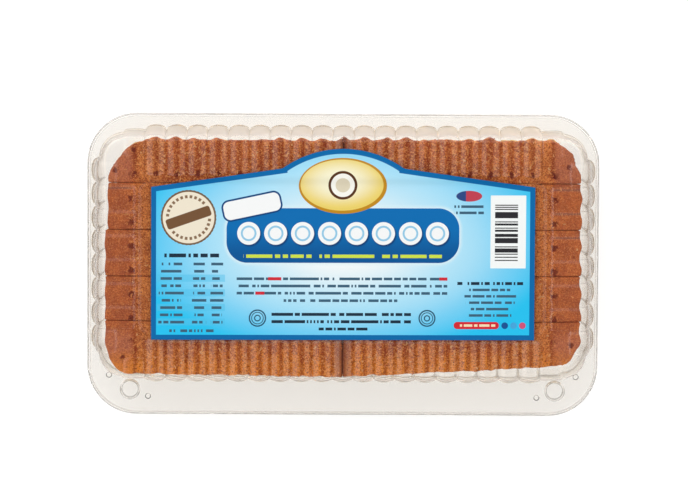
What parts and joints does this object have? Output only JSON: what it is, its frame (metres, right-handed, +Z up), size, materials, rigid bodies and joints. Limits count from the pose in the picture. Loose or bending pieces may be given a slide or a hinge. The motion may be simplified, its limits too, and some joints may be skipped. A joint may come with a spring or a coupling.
{
  "type": "packed coconut cake",
  "caption": "Coconut sponge cake cut into slices, in a shut clear fluted tray with a press-on lid, snap buttons and a colour-field label.",
  "frame": {"origin": "middle of the pack's box on the plane that the tray's floor stands on", "axes": "+X to the right of the label along the pack's length, +Y to the back, away from the flange's wide front, +Z up through the lid"},
  "size_m": [0.256, 0.1516, 0.0448],
  "materials": {
    "clear_sheet": "clear thin formed sheet, glossy",
    "label_print": "coated paper, satin",
    "sponge_cake": "baked crust, matt"
  },
  "bodies": {
    "root": {"tray": "clear_sheet", "lid": "clear_sheet", "label": "label_print", "slice_left_1": "sponge_cake", "slice_left_2": "sponge_cake", "slice_left_3": "sponge_cake", "slice_left_4": "sponge_cake", "slice_left_5": "sponge_cake", "slice_right_1": "sponge_cake", "slice_right_2": "sponge_cake", "slice_right_3": "sponge_cake", "slice_right_4": "sponge_cake", "slice_right_5": "sponge_cake"}
  },
  "joints": []
}
